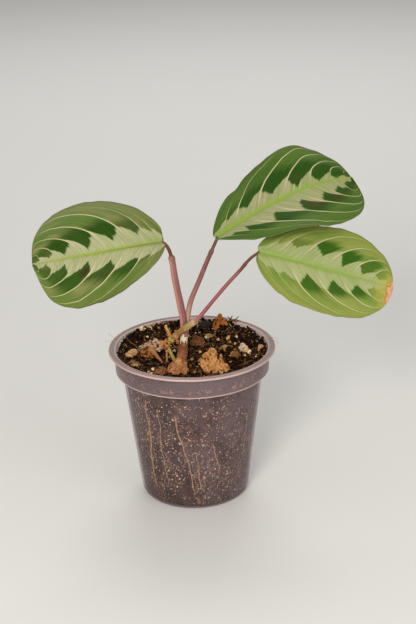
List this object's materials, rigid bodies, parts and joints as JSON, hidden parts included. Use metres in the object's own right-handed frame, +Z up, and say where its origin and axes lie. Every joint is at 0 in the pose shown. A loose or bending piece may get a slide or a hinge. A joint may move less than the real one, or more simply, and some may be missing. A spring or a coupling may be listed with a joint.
{
  "type": "potted prayer plant",
  "caption": "Young prayer plant with patterned oval leaves on long petioles, in a thin see-through nursery pot full of potting mix.",
  "frame": {"origin": "centre of the pot's foot, on the surface that it stands on", "axes": "+Z up along the pot's axis, -Y towards the picture's viewer, +X to the right of that view"},
  "size_m": [0.2246, 0.123, 0.2238],
  "materials": {
    "pot_plastic": "thin see-through mauve-grey plastic, satin, with fine moulding lines",
    "mix": "moist dark potting mix with fibres, bark crumbs and perlite grains",
    "leaf_blade": "soft satin leaf, pale feathered middle, dark blotches between cream veins",
    "shoot_main": "smooth mauve-pink petioles on a cream stem",
    "shoot_side": "smooth pink petiole on an olive node with dry stalks",
    "dry_sheath": "dry brown papery sheath, ribbed lengthways",
    "dead_leaf": "shrivelled tan leaf",
    "bark": "rough pitted bark",
    "perlite": "rough white expanded grain",
    "root": "pale tan root"
  },
  "bodies": {
    "root": {"pot": "pot_plastic", "leaf_left": "leaf_blade", "leaf_upper": "leaf_blade", "leaf_lower": "leaf_blade", "shoot_main": "shoot_main", "shoot_side": "shoot_side", "sheath_main_dry": "dry_sheath", "sheath_side_dry": "dry_sheath", "dead_leaf": "dead_leaf", "bark_front_left": "bark", "bark_middle": "bark", "bark_right": "bark", "bark_edge_left": "bark", "bark_front_rim": "bark", "perlite_right": "perlite", "perlite_edge_right": "perlite", "perlite_left": "perlite", "bark_front_right": "bark", "bark_back": "bark", "root_1": "root", "root_2": "root", "root_3": "root", "root_4": "root", "root_5": "root", "root_6": "root", "root_7": "root", "root_8": "root", "potting_mix": "mix"}
  },
  "joints": []
}
